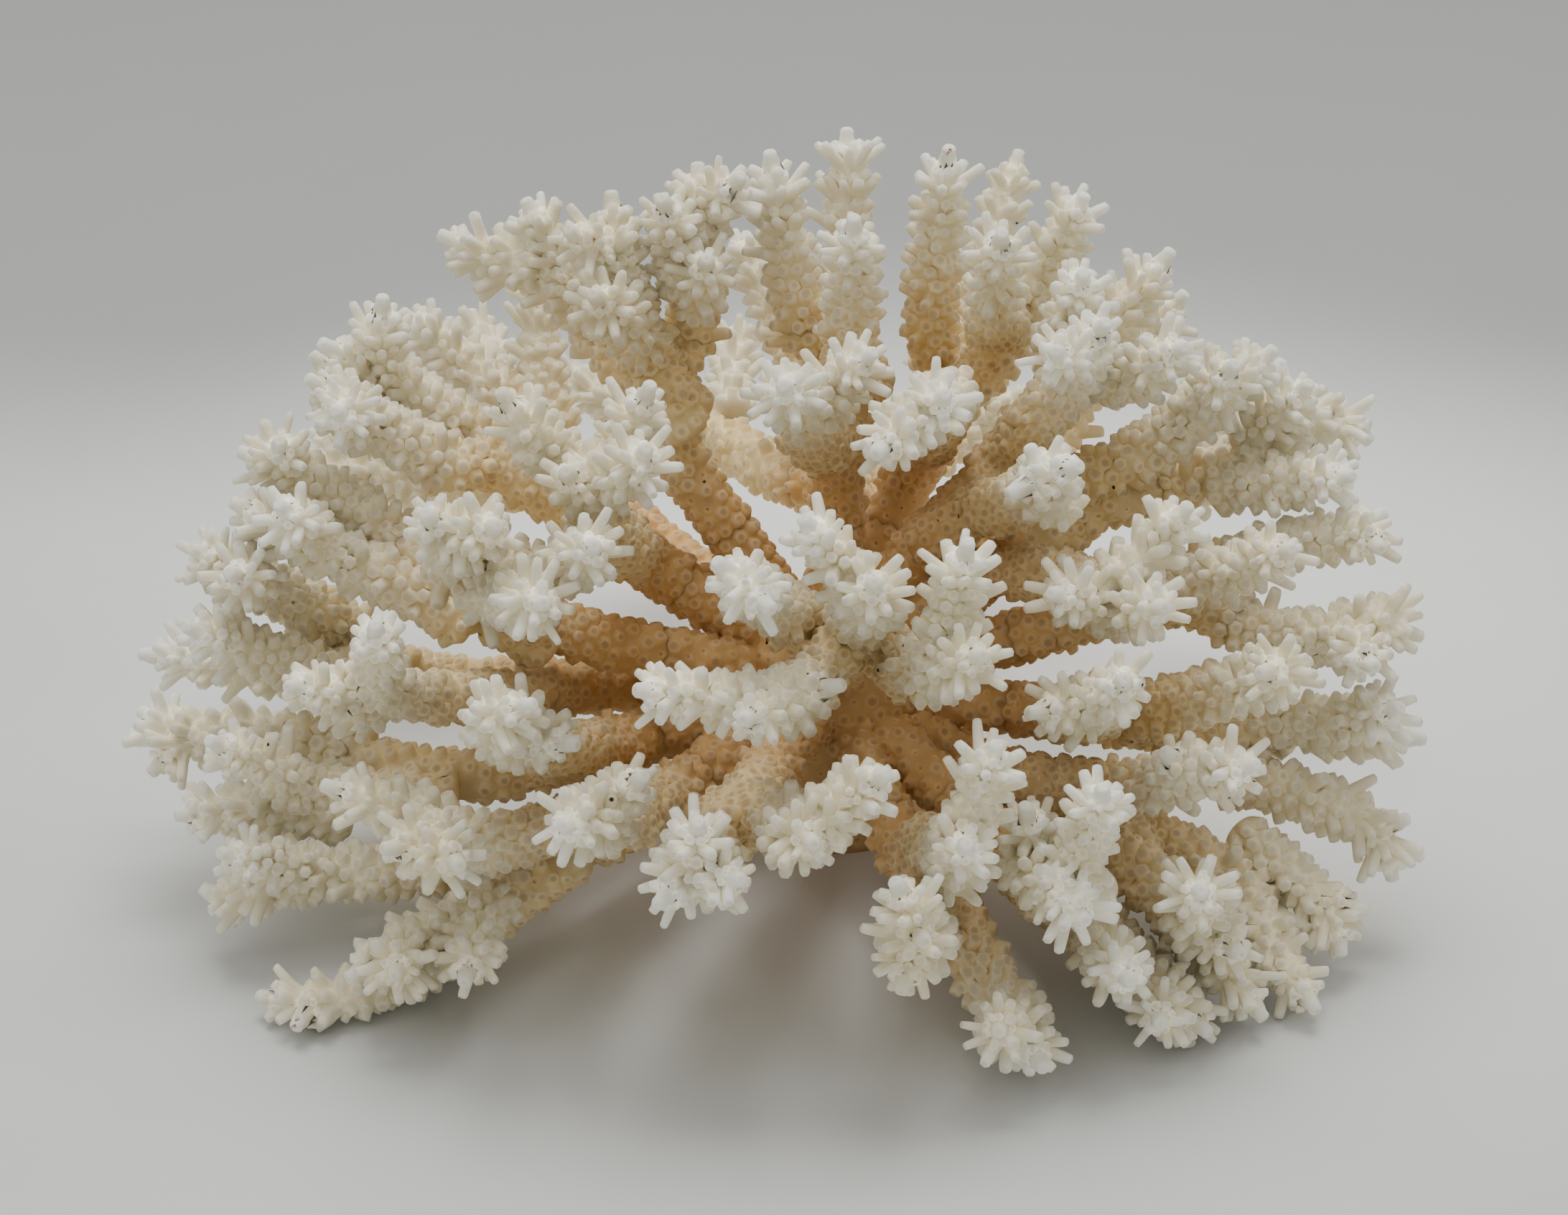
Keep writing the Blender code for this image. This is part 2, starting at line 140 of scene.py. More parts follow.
# Rings of the leading tube: share of its rise, share of its width, and how hollow
LEAD_RINGS = (
    (0.35, 1.0, 0.0),
    (0.75, 0.98, 0.0),
    (0.93, 0.78, 0.0),
    (1.0, 0.46, 0.3),
    (0.92, 0.24, 1.0),
)
LEAD_HEIGHT = 0.6  # the leading tube's height value, against 1 for a side tube
TUBE_SIDES = 6
# Rings of each kind of side tube: share of its length, lift in metres, share of its half width, how much the
# opening slants, how hollow, how high, and whether the ring lies flat on the branch
TUBE_RINGS = (
    (0.22, 0.0, 1.12, 0.0, 0.0, 0.35, False),
    (0.76, 0.0, 1.0, 0.08, 0.0, 0.85, False),
    (0.95, 0.0, 0.84, 0.12, 0.0, 1.0, False),
    (0.99, 0.0, 0.38, 0.12, 1.0, 0.9, False),
)
KNOB_RINGS = (
    (0.30, 0.0, 1.22, 0.05, 0.0, 0.5, False),
    (0.90, 0.0, 0.76, 0.15, 0.0, 1.0, False),
    (0.72, 0.0, 0.34, 0.15, 1.0, 0.6, False),
)
PIT_RINGS = (
    (0.8, 0.00008, 0.46, 0.0, 0.0, 0.8, True),
    (0.0, -0.00025, 0.24, 0.0, 1.0, 0.0, True),
)
# Stained spots, in millimetres: where they are, and how far the stain reaches
LIMB_MARKS_MM = ((17.4, 9.2, 113.0, 1.6), (31.0, 43.4, 101.6, 1.8))
BRANCH_MARKS_MM = ((-79.0, -75.2, 4.8, 3.0),)

# The values that every corner of the coral carries for its material
TRAITS = ("age", "hollow", "height", "chance")
# What is held for every cell: its corners and centre, the directions out of the branch and along it, how far
# back from the tip it is, its chain, its node, its row counted from the tip, and its number in the row
CELL_COLUMNS = ("corners", "centre", "out", "way", "back", "chain", "node", "row", "number")

# The camera looks this far right of the heart and this far up, square to its view
AIM_RIGHT = -0.00775
AIM_UP = 0.0114


def linear(code):
    """Linear colour of an sRGB hex code."""
    parts = [int(code[i : i + 2], 16) / 255 for i in (0, 2, 4)]
    return [p / 12.92 if p <= 0.04045 else ((p + 0.055) / 1.055) ** 2.4 for p in parts]


# ---------------------------------------------------------------- settings


class CoralForm(bpy.types.PropertyGroup):
    """Sizes of the coral's tubes."""

    tube_width: FloatProperty(
        name="Tube width", description="Outside width of a full side tube", default=0.0020, unit="LENGTH"
    )
    leading_width: FloatProperty(
        name="Leading tube width", description="Outside width of a tip's tube", default=0.0022, unit="LENGTH"
    )
    spacing: FloatProperty(
        name="Tube spacing", description="Between the middles of two tubes", default=0.00297, unit="LENGTH"
    )
    around_tip: IntProperty(
        name="Tubes round a short branch", description="Tubes in one ring round a short branch", default=8
    )
    around_limb: IntProperty(
        name="Tubes round a long branch", description="Tubes in one ring round a long branch", default=9
    )
    around_stalk: IntProperty(
        name="Pits round the stalk", description="Worn tubes in one ring round the stalk", default=34
    )
    unevenness: FloatProperty(
        name="Unevenness", description="How much the tubes differ", default=1.0, subtype="FACTOR"
    )


class CoralColours(bpy.types.PropertyGroup):
    """Colours of the dried skeleton, from its newest growth to its oldest."""

    tip: FloatVectorProperty(
        name="Tip", description="Bleached new growth", subtype="COLOR", default=linear("F1F0E6")
    )
    cream: FloatVectorProperty(
        name="Cream", description="A finger's width behind a tip", subtype="COLOR", default=linear("E2DBC2")
    )
    tan: FloatVectorProperty(
        name="Tan", description="Deep between the branches", subtype="COLOR", default=linear("E0C996")
    )
    rust: FloatVectorProperty(
        name="Rust", description="Oldest growth round the heart", subtype="COLOR", default=linear("CDA363")
    )
    # Mixed into the hollows of the tubes as brown dirt and painted shade
    pit: FloatVectorProperty(
        name="Pit", description="Dirt in the hollows of tubes", subtype="COLOR", default=linear("A07B4E")
    )
    speck: FloatVectorProperty(
        name="Speck", description="Crumbs of dried weed", subtype="COLOR", default=linear("3A1D12")
    )
    mark: FloatVectorProperty(
        name="Mark", description="Red-brown stain on a tip", subtype="COLOR", default=linear("84401F")
    )


class StudioSettings(bpy.types.PropertyGroup):
    """Camera, floor and lights."""

    elevation: FloatProperty(
        name="Camera elevation",
        description="How far the camera looks down",
        default=math.radians(27),
        subtype="ANGLE",
    )
    distance: FloatProperty(
        name="Camera distance", description="From the heart to the camera", default=0.560, unit="LENGTH"
    )
    lens: FloatProperty(name="Lens", description="Focal length in millimetres", default=78.0)
    floor_size: FloatProperty(
        name="Floor size", description="Side of the square floor", default=8.0, unit="LENGTH"
    )
    floor: FloatVectorProperty(
        name="Floor", description="Painted table top", subtype="COLOR", default=linear("D4D6D4")
    )


def form():
    """The settings of the coral's shape."""
    return bpy.context.scene.coral_form


# ---------------------------------------------------------------- vectors as the rows of arrays


def array_of(vectors):
    """Vectors as the rows of an array."""
    return np.array([tuple(v) for v in vectors])


def gaps_to(others, places):
    """Distance from each place to the nearest of the others."""
    return np.linalg.norm(places[:, None] - others[None], axis=2).min(axis=1)


def unit(vectors):
    """Vectors brought to length one."""
    return vectors / np.linalg.norm(vectors, axis=1)[:, None]


def square_to(vectors, axes):
    """The unit vectors nearest to these that are square to the unit axes."""
    return unit(vectors - axes * (vectors * axes).sum(axis=1)[:, None])


def turned(vectors, axes, angles):
    """Vectors turned about unit axes that they are square to."""
    return vectors * np.cos(angles)[:, None] + np.cross(axes, vectors) * np.sin(angles)[:, None]


# ---------------------------------------------------------------- the middle lines, read from the solids


class Spot:
    """One point on the middle line of the coral."""

    def __init__(self, node, place, before=None):
        self.node = node
        self.place = place
        self.before = before


class End:
    """A flat six-sided end of a branch, at a tip or where two pieces meet."""

    def __init__(self, centre, corners, facing):
        self.centre = centre
        self.corners = corners
        self.facing = facing


def solid_of(node):
    """A node's solid with its doubled corners welded."""
    shape = bmesh.new()
    shape.from_mesh(bpy.data.objects[node].data)
    bmesh.ops.remove_doubles(shape, verts=shape.verts, dist=WELD)
    return shape


def flat_ends(node):
    """Every flat six-sided end of a node. The first is the one at its root, which faces the heart."""
    shape = solid_of(node)
    bmesh.ops.dissolve_limit(shape, angle_limit=FLATNESS, verts=shape.verts, edges=shape.edges)
    ends = []
    for face in shape.faces:
        corners = [v.co.copy() for v in face.verts]
        centre = sum(corners, Vector()) / len(corners)
        widths = [(c - centre).length for c in corners]
        if len(corners) == BRANCH_SIDES and max(widths) < min(widths) * EVEN_SIDES:
            ends.append(End(centre, corners, face.normal.copy()))
    shape.free()
    return sorted(ends, key=lambda e: e.facing.dot((e.centre - HEART).normalized()))


def fine_surface(node):
    """Corners, edges and the area round each corner of a node whose triangles have been made small."""
    shape = solid_of(node)
    bmesh.ops.triangulate(shape, faces=shape.faces)
    for _ in range(FINE_ROUNDS):
        longest = {max(f.edges, key=lambda e: e.calc_length()) for f in shape.faces}
        longest = [e for e in longest if e.calc_length() > FINE]
        bmesh.ops.subdivide_edges(shape, edges=longest, cuts=1)
        bmesh.ops.triangulate(shape, faces=[f for f in shape.faces if len(f.verts) > 3])
    shape.verts.index_update()
    places = array_of(v.co for v in shape.verts)
    edges = np.array([[v.index for v in e.verts] for e in shape.edges])
    areas = np.array([sum(f.calc_area() for f in v.link_faces) for v in shape.verts])
    shape.free()
    return places, edges, areas


def surface_distance(places, edges, seeds):
    """Distance over the surface to every corner from the nearest seed."""
    far = np.full(len(places), 1e3)
    far[seeds] = 0.0
    lengths = np.linalg.norm(places[edges[:, 0]] - places[edges[:, 1]], axis=1)
    while True:
        nearer = far.copy()
        np.minimum.at(nearer, edges[:, 0], far[edges[:, 1]] + lengths)
        np.minimum.at(nearer, edges[:, 1], far[edges[:, 0]] + lengths)
        if np.array_equal(nearer, far):
            return far
        far = nearer


def groups_of(count, pairs):
    """A number for each point, the same for all the points that the pairs join up."""
    label = np.arange(count)
    while True:
        low = label.copy()
        np.minimum.at(low, pairs[:, 0], label[pairs[:, 1]])
        np.minimum.at(low, pairs[:, 1], label[pairs[:, 0]])
        low = low[low]
        if np.array_equal(low, label):
            return label
        label = low


class NodeLines:
    """The middle lines of one node, hung on the spot at its root."""

    def __init__(self, node, root):
        self.root = Spot(node, root.centre)
        self.places, edges, self.areas = fine_surface(node)
        seeds = [self.nearest(c) for c in root.corners]
        level = (surface_distance(self.places, edges, seeds) / BAND).astype(int)
        same = level[edges[:, 0]] == level[edges[:, 1]]
        self.group = groups_of(len(self.places), edges[same])
        self.made = {int(self.group[seeds[0]]): self.root}
        # For each group of corners, the groups next to it on its root's side, and how many edges lead to each
        self.links = {}
        for one, other in edges[~same]:
            upper, lower = (one, other) if level[one] > level[other] else (other, one)
            counts = self.links.setdefault(int(self.group[upper]), {})
            counts[int(self.group[lower])] = counts.get(int(self.group[lower]), 0) + 1

    def nearest(self, place):
        """Index of the corner nearest to a place."""
        return int(np.linalg.norm(self.places - np.array(place), axis=1).argmin())

    def spot(self, number):
        """The spot in the middle of one group of corners."""
        if number not in self.made:
            members = self.group == number
            weight = self.areas[members]
            place = Vector((self.places[members] * weight[:, None]).sum(axis=0) / weight.sum())
            lower = max(self.links[number], key=self.links[number].get)
            self.made[number] = Spot(self.root.node, place, self.spot(lower))
        return self.made[number]

    def unread_tips(self):
        """Spots at the tips that have no whole flat end, found as the places far from every spot."""
        found = []
        for _ in range(MOST_UNREAD):
            gaps = gaps_to(array_of(s.place for s in self.made.values()), self.places)
            number = int(self.group[gaps.argmax()])
            if gaps.max() < UNREAD_REACH or number in self.made:
                break
            found.append(self.spot(number))
        return found

    def end_at(self, centre, corner):
        """A spot at the centre of a flat end, given one of its corners."""
        last = self.spot(int(self.group[self.nearest(corner)]))
        while last.before and (last.place - centre).length < BAND * END_ROOM:
            last = last.before
        return Spot(self.root.node, centre, last)


def crown_line(joint, outwards):
    """The spots of a limb inside the crown, from near the heart to its joint; the last one is returned."""
    reach = (joint - HEART).length
    spot = None
    for share in np.linspace(CROWN_START / reach, 1, max(CROWN_SPOTS, round(reach / BAND))):
        straight = HEART.lerp(joint, share)
        leaving = joint + outwards * (share - 1) * reach
        spot = Spot(STALK_NODE, straight.lerp(leaving, CROWN_TURN * share), spot)
    return spot


def colony_tips():
    """The spot at every tip of the colony. Each hangs on the spots before it, down to the heart."""
    ends = {node: flat_ends(node) for node in sorted(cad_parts) if node != STALK_NODE}
    lines = {node: NodeLines(node, ends[node][0]) for node in ends}
    corners = {node: array_of(v.co for v in bpy.data.objects[node].data.vertices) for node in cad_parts}
    for node, line in lines.items():
        root = ends[node][0]
        rim = array_of(root.corners)
        gaps = {other: np.median(gaps_to(places, rim)) for other, places in corners.items() if other != node}
        carrier = min(sorted(gaps), key=gaps.get)
        if carrier == STALK_NODE:
            line.root.before = crown_line(root.centre, -root.facing)
        else:
            line.root.before = lines[carrier].end_at(root.centre, root.corners[0]).before
    joints = [ends[node][0].centre for node in lines]
    tips = []
    for node, line in lines.items():
        for end in ends[node][1:]:
            if min((end.centre - j).length for j in joints) > JOINT_SEARCH:
                tips.append(line.end_at(end.centre, end.corners[0]))
        tips.extend(line.unread_tips())
    return tips


# ---------------------------------------------------------------- branches as evenly spaced runs


def smoothed(points):
    """Points evened out, with both ends kept."""
    points = points.copy()
    for _ in range(LINE_ROUNDS):
        points[1:-1] += LINE_PULL * (points[:-2] + points[2:] - 2 * points[1:-1])
    return points


class Chain:
    """One unbranched run of coral from where it leaves its parent, or from the stalk's cut, to its end."""

    def __init__(self, points, nodes, around, is_stalk=False):
        steps = np.linalg.norm(np.diff(points, axis=0), axis=1)
        reach = np.concatenate(([0.0], np.cumsum(steps)))
        self.length = reach[-1]
        self.along = np.arange(0.0, self.length, FINE_STEP)
        self.along[-1] = self.length
        line = np.stack([np.interp(self.along, reach, column) for column in points.T], axis=1)
        self.line = line if is_stalk else smoothed(line)
        index = np.searchsorted(reach, self.along, side="right") - 1
        self.nodes = [nodes[i] for i in np.clip(index, 0, len(nodes) - 1)]
        self.around = around
        self.is_stalk = is_stalk
        self.way = unit(np.gradient(self.line, axis=0))
        self.side = self.carried_side()

    def carried_side(self):
        """A direction square to the line at each of its points, carried along it without a twist."""
        side = Vector(self.way[0]).orthogonal().normalized()
        sides = [side]
        for before, after in zip(self.way[:-1], self.way[1:]):
            turn = Vector(before).rotation_difference(Vector(after))
            side = (turn @ side).normalized()
            sides.append(side)
        return array_of(sides)

    def at(self, values, distance):
        """Vectors given at the chain's own points, read at distances along it."""
        return np.stack([np.interp(distance, self.along, column) for column in values.T], axis=-1)

    def back(self, distance):
        """Distance back from the tip in millimetres; the stalk counts as the oldest growth."""
        if self.is_stalk:
            return np.full(np.shape(distance), BACK_MM[-1], dtype=float)
        return (self.length - distance) / MM

    def core(self, distance):
        """Radius of the branch under its tubes."""
        if self.is_stalk:
            return np.interp(distance / MM, STALK_HEIGHT_MM, STALK_RADIUS_MM) * MM
        return np.interp(self.back(distance), BACK_MM, CORE_MM) * MM


def way_length(tip):
    """Length of the way from the heart to a tip."""
    length = 0.0
    while tip.before:
        length += (tip.place - tip.before.place).length
        tip = tip.before
    return length


def carry_inside(places, nodes, host):
    """Carry a run on backwards inside its parent, turning into the parent's direction."""
    first = places[1] - places[0] if len(places) > 1 else places[0] - host.place
    way = first.normalized()
    along = (host.place - host.before.place).normalized() if host.before else way
    for _ in range(BURIED_STEPS):
        way = (way * (1 - BURIED_TURN) + along * BURIED_TURN).normalized()
        start = places[0] - way * BAND
        places.insert(0, start)
        nodes.insert(0, host.node)
        while host.before and (host.before.place - start).length < (host.place - start).length:
            host = host.before
        if (host.place - start).length < BURIED_NEAR:
            break


def chains_of(tips):
    """The colony as chains: the longest way to a tip, then the longest that leaves it, and so on."""
    reach = {tip: way_length(tip) for tip in tips}
    taken = set()
    chains = []
    for tip in sorted(tips, key=reach.get, reverse=True):
        run = [tip]
        while run[-1].before and run[-1].before not in taken:
            run.append(run[-1].before)
        taken.update(run)
        run.reverse()
        places = [s.place for s in run]
        nodes = [s.node for s in run]
        if run[0].before:
            carry_inside(places, nodes, run[0].before)
        if len(places) > 2:
            around = form().around_tip if reach[tip] < LONG_REACH else form().around_limb
            chains.append(Chain(array_of(places), nodes, around))
    return chains


def stalk_chain():
    """The stalk, upright from its flat cut into the crown."""
    heights = np.linspace(0, STALK_HEIGHT_MM[-1] * MM, STALK_SPOTS)
    points = np.stack([heights * 0, heights * 0, heights], axis=1)
    return Chain(points, [STALK_NODE] * len(points), form().around_stalk, is_stalk=True)


# ---------------------------------------------------------------- tubes


def rows_of(chain):
    """Where the rows of tubes stand, as distances along a chain, and where the last ring of corners is."""
    spacing = form().spacing
    end = chain.length - (0.0 if chain.is_stalk else TIP_RISE)
    rows = []
    here = 0.0
    while True:
        width = math.tau * float(chain.core(here)) / chain.around
        here += ROW_PITCH * min(max(width, spacing * NARROWEST), spacing * WIDEST)
        if here > end - LAST_ROOM:
            return np.array(rows), end
        rows.append(here)


def ring_grid(chain, rows, end, rng):
    """Rings of corners of the six-sided cells on a chain, their distances along it and how each is turned."""
    count = 2 * chain.around
    k = np.arange(count)
    turn = np.cumsum(rng.normal(0, TWIST, len(rows) + 1)) + rng.uniform(0, math.tau)
    rings = []
    distances = []
    for i in range(len(rows) + 1):
        if 0 < i < len(rows):
            # Corners lie one third and two thirds of the way back to the row before, in turn
            distance = rows[i] - (rows[i] - rows[i - 1]) * np.where(k % 2 == i % 2, 2, 1) / 3
            lift = rng.normal(0, STRAY, count) - GROOVE
        else:
            distance = np.full(count, end if i else 0.0)
            lift = np.zeros(count)
        distances.append(distance)
        rings.append(surface_points(chain, distance, k * math.pi / chain.around + turn[i], lift))
    return np.array(rings), np.array(distances), turn


def surface_points(chain, distance, angle, lift):
    """Points on the chain's core at these distances along it and angles round it, raised by a lift."""
    centre = chain.at(chain.line, distance)
    out = outward(chain, distance, angle)
    radius = (chain.core(distance) + lift)[:, None]
    if chain.is_stalk:
        out = out * np.array([1.0, STALK_DEPTH, 1.0])
    return centre + out * radius


def outward(chain, distance, angle):
    """Directions square to the chain at these distances along it and angles round it."""
    way = unit(chain.at(chain.way, distance))
    return turned(square_to(chain.at(chain.side, distance), way), way, angle)


def traits(age, hollow, height, chance):
    """Rows of the values that the material reads."""
    return np.stack(np.broadcast_arrays(age, hollow, height, chance), axis=-1)


class Shape:
    """Corners and faces of the whole colony, gathered before they are shared out among the pieces."""

    def __init__(self):
        self.places = []
        self.values = []
        self.count = 0
        self.faces = []

    def add_points(self, places, values):
        """Add points with their traits and return their indices."""
        places = places.reshape(-1, 3)
        self.places.append(places)
        self.values.append(np.broadcast_to(values, (len(places), len(TRAITS))).copy())
        first = self.count
        self.count += len(places)
        return np.arange(first, self.count)

    def add_faces(self, corners, nodes):
        """Add faces, one in each row of corners, each belonging to a node."""
        if len(corners):
            self.faces.append((np.asarray(corners), np.asarray(nodes)))

    def add_walls(self, lower, upper, nodes):
        """Join pairs of rings, one in each row, with four-sided faces."""
        faces = np.stack([lower, np.roll(lower, -1, axis=1), np.roll(upper, -1, axis=1), upper], axis=-1)
        self.add_faces(faces.transpose(1, 0, 2).reshape(-1, 4), np.tile(nodes, lower.shape[1]))

    def piece(self, number):
        """The corners that the piece of the node with this number uses, and its faces numbered by them."""
        chosen = [corners[nodes == number] for corners, nodes in self.faces if (nodes == number).any()]
        used = np.unique(np.concatenate([c.ravel() for c in chosen]))
        index = np.full(self.count, -1)
        index[used] = np.arange(len(used))
        return used, [index[c] for c in chosen]


class Cells:
    """All the six-sided cells of the colony, held as arrays."""

    def __init__(self):
        self.columns = {name: [] for name in CELL_COLUMNS}

    def add(self, **columns):
        """Add one chain's cells."""
        for name, values in columns.items():
            self.columns[name].append(values)

    def close(self):
        """Join the chains' arrays end to end."""
        for name, values in self.columns.items():
            setattr(self, name, np.concatenate(values))


def lay_cells(chains, numbers, shape, rng):
    """Cover every chain with cells, and close its start and its end."""
    cells = Cells()
    for which, chain in enumerate(chains):
        rows, end = rows_of(chain)
        if not len(rows):
            continue
        rings, distances, turn = ring_grid(chain, rows, end, rng)
        rings[..., 2] = np.maximum(rings[..., 2], 0.0 if chain.is_stalk else FLOOR_CLEAR)
        ground = traits(chain.back(distances.ravel()), 0.0, 0.0, AVERAGE)
        index = shape.add_points(rings, ground).reshape(len(rings), -1)
        own = np.array([numbers[n] for n in chain.nodes])
        row_nodes = own[np.clip(np.searchsorted(chain.along, rows), 0, len(own) - 1)]
        for i in range(len(rows)):
            k = 2 * np.arange(chain.around) + i % 2
            before, after = (k - 1) % (2 * chain.around), (k + 1) % (2 * chain.around)
            low, high = index[i], index[i + 1]
            corners = (low[k], low[after], high[after], high[k], high[before], low[before])
            angle = k * math.pi / chain.around + (turn[i] + turn[i + 1]) / 2
            distance = np.full(len(k), (distances[i].mean() + distances[i + 1].mean()) / 2)
            cells.add(
                corners=np.stack(corners, axis=1),
                centre=surface_points(chain, distance, angle, np.zeros(len(k))),
                out=outward(chain, distance, angle),
                way=unit(chain.at(chain.way, distance)),
                back=chain.back(distance),
                chain=np.full(len(k), which),
                node=np.full(len(k), row_nodes[i]),
                row=np.full(len(k), len(rows) - 1 - i),
                number=np.arange(chain.around),
            )
        shape.add_faces(index[:1, ::-1], [row_nodes[0]])
        if chain.is_stalk:
            shape.add_faces(index[-1:], [row_nodes[-1]])
        else:
            lead_tube(chain, index[-1:], end, turn[-1], own[-1], shape, rng)
    cells.close()
    return cells


def lead_tube(chain, below, end, turn, node, shape, rng):
    """The open tube that leads the growth at a chain's tip."""
    count = below.shape[1]
    angle = np.arange(count) * math.pi / chain.around + turn
    chance = rng.uniform()
    for rise, width, hollow in LEAD_RINGS:
        distance = np.full(count, min(end + rise * TIP_RISE, chain.length))
        radius = width * form().leading_width / 2
        ring = chain.at(chain.line, distance) + outward(chain, distance, angle) * radius
        above = shape.add_points(ring, traits(0.0, hollow, LEAD_HEIGHT * (1 - hollow), chance))[None]
        shape.add_walls(below, above, [node])
        below = above
    shape.add_faces(below, [node])


def buried(places, own, chains, spare):
    """Whether each place lies in the stalk, or within this spare distance of another branch's core."""
    stalk, branches = 0, chains[1:]
    across = np.hypot(places[:, 0], places[:, 1] / STALK_DEPTH)
    stalk_radius = np.interp(places[:, 2] / MM, STALK_HEIGHT_MM, STALK_RADIUS_MM, right=0) * MM
    found = (across < stalk_radius - STALK_COVER) & (own != stalk)
    line = np.concatenate([c.line for c in branches])
    radius = np.concatenate([c.core(c.along) for c in branches])
    owner = np.concatenate([np.full(len(c.line), i) for i, c in enumerate(branches, stalk + 1)])
    tree = kdtree.KDTree(len(line))
    for i, place in enumerate(line):
        tree.insert(place, i)
    tree.balance()
    reach = radius.max() + spare
    for i in np.flatnonzero(~found):
        near = tree.find_range(places[i], reach)
        found[i] = any(owner[j] != own[i] and gap < radius[j] + spare for _, j, gap in near)
    return found


def ring_of(centre, right, up, width, lift, facing, slant):
    """Corners round each centre, starting from the lower side, raised along the facing by a lift."""
    angle = np.radians(-90 + 360 / TUBE_SIDES * np.arange(TUBE_SIDES))
    cosine, sine = np.cos(angle)[None, :, None], np.sin(angle)[None, :, None]
    flat = right[:, None] * cosine + up[:, None] * sine
    rise = lift[:, None] - slant * width[:, None] * np.sin(angle)[None, :]
    return centre[:, None] + flat * width[:, None, None] + facing[:, None] * rise[..., None]


def tube_lengths(cells, branches, rng):
    """How far each cell's tube stands out where nothing is in its way."""
    uneven = form().unevenness
    age = cells.back
    spread = np.interp(age, SPREAD_BACK_MM, LENGTH_SPREAD) * uneven
    length = np.interp(age, BACK_MM, LENGTH_MM) * MM * np.exp(rng.normal(0, 1, len(age)) * spread)
    length *= np.exp(rng.normal(0, BRANCH_SPREAD * uneven, branches))[cells.chain]
    length *= np.where(rng.uniform(size=len(age)) < STUNTED_PART * uneven, STUNTED, 1.0)
    overgrown = (rng.uniform(size=len(age)) < OVERGROWN_PART * uneven) & (age < OVERGROWN_BACK_MM)
    length *= np.where(overgrown, OVERGROWN, 1.0)
    rosette = np.interp(age, ROSETTE_BACK_MM, ROSETTE)
    length *= 1 + rosette * (np.where(cells.row % 2 == 1, LONG_ROW, SHORT_ROW) - 1)
    return np.minimum(length, LONGEST_TUBE)


class Tubes:
    """What stands on each cell: its foot, its length and width, and the directions it is built along."""

    def __init__(self, cells, chains, rng):
        uneven = form().unevenness
        count = len(cells.centre)
        self.hidden = buried(cells.centre, cells.chain, chains, -HIDDEN_DEPTH)
        length = tube_lengths(cells, len(chains), rng)
        lean = np.interp(cells.back, BACK_MM, LEAN_DEG) + rng.normal(0, LEAN_SPREAD_DEG * uneven, count)
        lean = np.radians(lean)[:, None]
        share = np.interp(cells.back, BACK_MM, WIDTH_SHARE)
        self.width = share * form().tube_width / 2 * (1 + rng.normal(0, WIDTH_SPREAD * uneven, count))
        skew = rng.normal(0, SKEW_SPREAD * uneven, count)[:, None]
        self.across = np.cross(cells.way, cells.out)
        self.facing = unit(cells.way * np.cos(lean) + cells.out * np.sin(lean) + self.across * skew)
        self.up = square_to(cells.way, self.facing)
        self.right = np.cross(self.up, self.facing)
        self.foot = cells.centre
        for way in (self.across, cells.way):
            self.foot = self.foot + way * rng.normal(0, FOOT_SPREAD_MM * uneven, count)[:, None] * MM
        tops = self.foot + self.facing * length[:, None]
        blocked = buried(tops, cells.chain, chains, TOP_ROOM)
        length = np.where(blocked, np.minimum(length, BLOCKED_TUBE), length)
        length = np.where(tops[:, 2] < FLOOR_CLEAR, np.minimum(length, FLOOR_TUBE), length)
        beside_lead = (cells.row == 0) & (cells.number % 2 == 0)
        self.length = np.where(beside_lead, length * FIRST_ROW, length)
        self.chance = rng.uniform(size=count)


def raise_rings(cells, tubes, chosen, rings, shape):
    """Raise rings of corners on the chosen cells, join each to the one below it, and close the last."""
    which = np.flatnonzero(chosen)
    below = cells.corners[which]
    for share, lift, wide, slant, hollow, height, lies_flat in rings:
        right, up, facing = tubes.right, tubes.up, tubes.facing
        if lies_flat:
            right, up, facing = tubes.across, cells.way, cells.out
        width = tubes.width[which] * wide
        rise = tubes.length[which] * share + lift
        ring = ring_of(tubes.foot[which], right[which], up[which], width, rise, facing[which], slant)
        ring[..., 2] = np.maximum(ring[..., 2], LIP_CLEAR)
        values = traits(cells.back[which], hollow, height, tubes.chance[which])
        above = shape.add_points(ring, np.repeat(values, TUBE_SIDES, axis=0)).reshape(-1, TUBE_SIDES)
        shape.add_walls(below, above, cells.node[which])
        below = above
    shape.add_faces(below, cells.node[which])


def grow_tubes(cells, chains, shape, rng):
    """Raise a tube, a knob or a pit on every cell that is not buried in another branch."""
    tubes = Tubes(cells, chains, rng)
    shape.add_faces(cells.corners[tubes.hidden], cells.node[tubes.hidden])
    is_tube = tubes.length > TUBE_LENGTH
    is_pit = tubes.length <= KNOB_LENGTH
    raise_rings(cells, tubes, ~tubes.hidden & is_tube, TUBE_RINGS, shape)
    raise_rings(cells, tubes, ~tubes.hidden & ~is_tube & ~is_pit, KNOB_RINGS, shape)
    raise_rings(cells, tubes, ~tubes.hidden & is_pit, PIT_RINGS, shape)


# ---------------------------------------------------------------- pieces


@lru_cache(maxsize=1)
def colony():
    """The colony's shape, its places and traits, and its nodes' names in the order of their numbers."""
    rng = np.random.default_rng(SEED)
    names = sorted(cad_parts)
    numbers = {name: i for i, name in enumerate(names)}
    chains = [stalk_chain()] + chains_of(colony_tips())
    shape = Shape()
    cells = lay_cells(chains, numbers, shape, rng)
    grow_tubes(cells, chains, shape, rng)
    return shape, np.concatenate(shape.places), np.concatenate(shape.values), names


